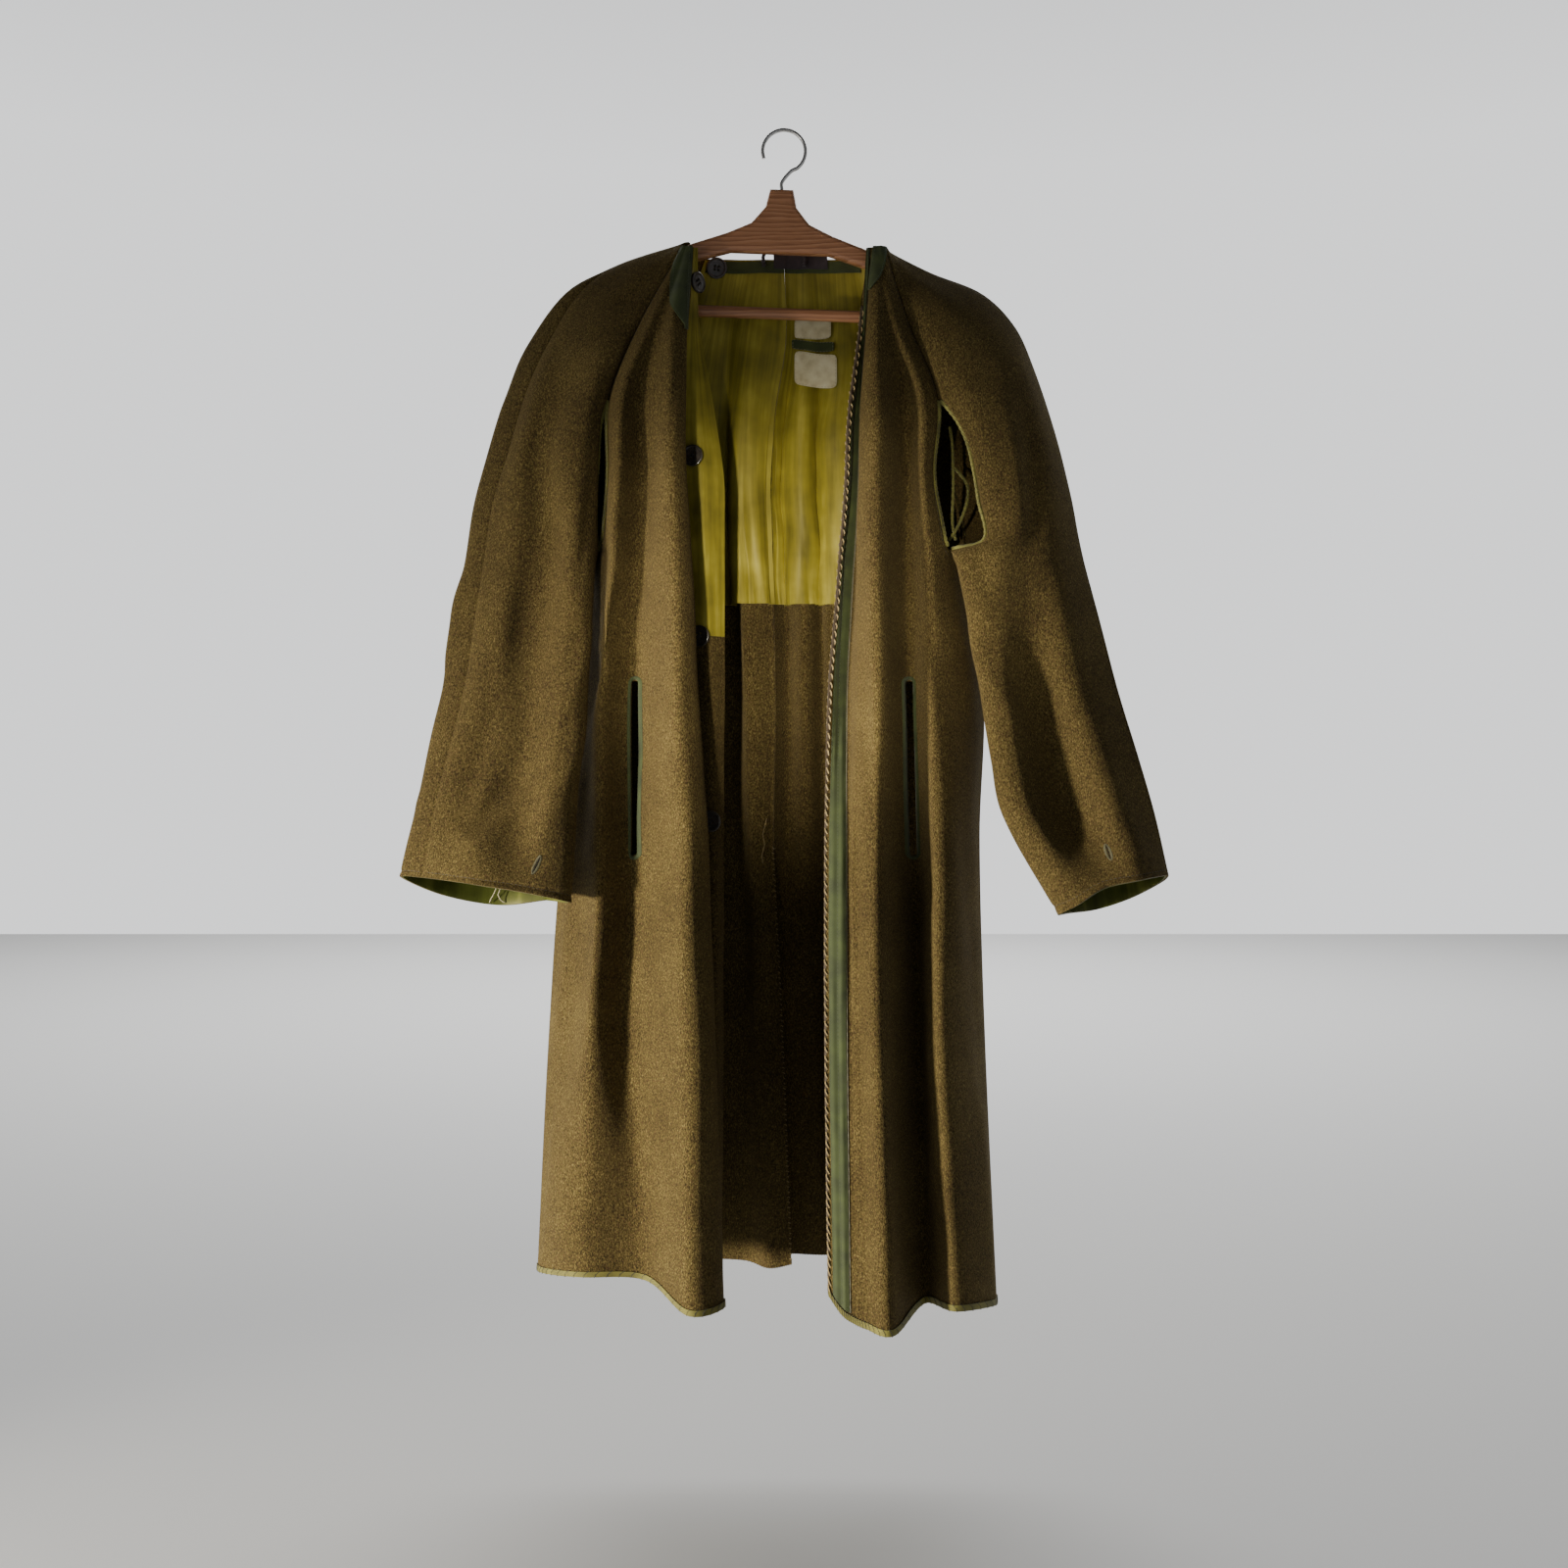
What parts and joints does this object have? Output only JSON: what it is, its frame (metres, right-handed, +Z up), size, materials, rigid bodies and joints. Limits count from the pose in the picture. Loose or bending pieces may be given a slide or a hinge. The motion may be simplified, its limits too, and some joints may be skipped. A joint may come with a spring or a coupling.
{
  "type": "overcoat liner on a hanger",
  "caption": "Open collarless wool liner of a long military overcoat with raglan sleeves, satin back lining and bound edges, hung on a wooden hanger with a bar and wire hook.",
  "frame": {"origin": "the inside of the hook's bend at its top, where the rail carries it", "axes": "+Z up, +X towards the wearer's left, +Y towards the coat's back, so the open fronts face -Y"},
  "size_m": [0.762, 0.1886, 1.2069],
  "materials": {
    "wool": "brown-olive napped wool frieze",
    "satin": "olive-yellow satin",
    "green_tape": "green cotton tape",
    "binding": "yellow-green cotton binding",
    "label": "cream woven label",
    "dark_tape": "dark purple-brown cotton",
    "button": "dark brown gloss",
    "beech": "varnished beech",
    "steel": "bright plated wire"
  },
  "bodies": {
    "root": {"front_right": "wool", "front_left": "wool", "back_right": "wool", "back_left": "wool", "sleeve_right_front": "wool", "sleeve_right_back": "wool", "sleeve_left_front": "wool", "sleeve_left_back": "wool", "button_strip_wool": "wool", "lining_back_right": "satin", "lining_back_left": "satin", "button_strip_satin": "satin", "cuff_lining_right_front": "satin", "cuff_lining_right_back": "satin", "cuff_lining_left_front": "satin", "cuff_lining_left_back": "satin", "front_tape_left": "green_tape", "neck_tape_right": "green_tape", "neck_tape_left": "green_tape", "neck_tape_back_right": "green_tape", "neck_tape_back_left": "green_tape", "pocket_binding_right": "green_tape", "pocket_binding_left": "green_tape", "label_patch": "green_tape", "hem_front_right": "binding", "hem_front_left": "binding", "hem_back_right": "binding", "hem_back_left": "binding", "slot_front_right_body": "binding", "slot_front_right_sleeve": "binding", "slot_front_left_body": "binding", "slot_front_left_sleeve": "binding", "slot_back_right_body": "binding", "slot_back_right_sleeve": "binding", "slot_back_left_body": "binding", "slot_back_left_sleeve": "binding", "label_upper": "label", "label_lower": "label", "neck_tab": "dark_tape", "hanging_loop": "dark_tape", "button_neck_edge": "button", "button_upper": "button", "button_middle": "button", "button_lower": "button", "button_inside_neck": "button", "hanger_wood": "beech", "hanger_bar": "beech", "hook": "steel"}
  },
  "joints": []
}
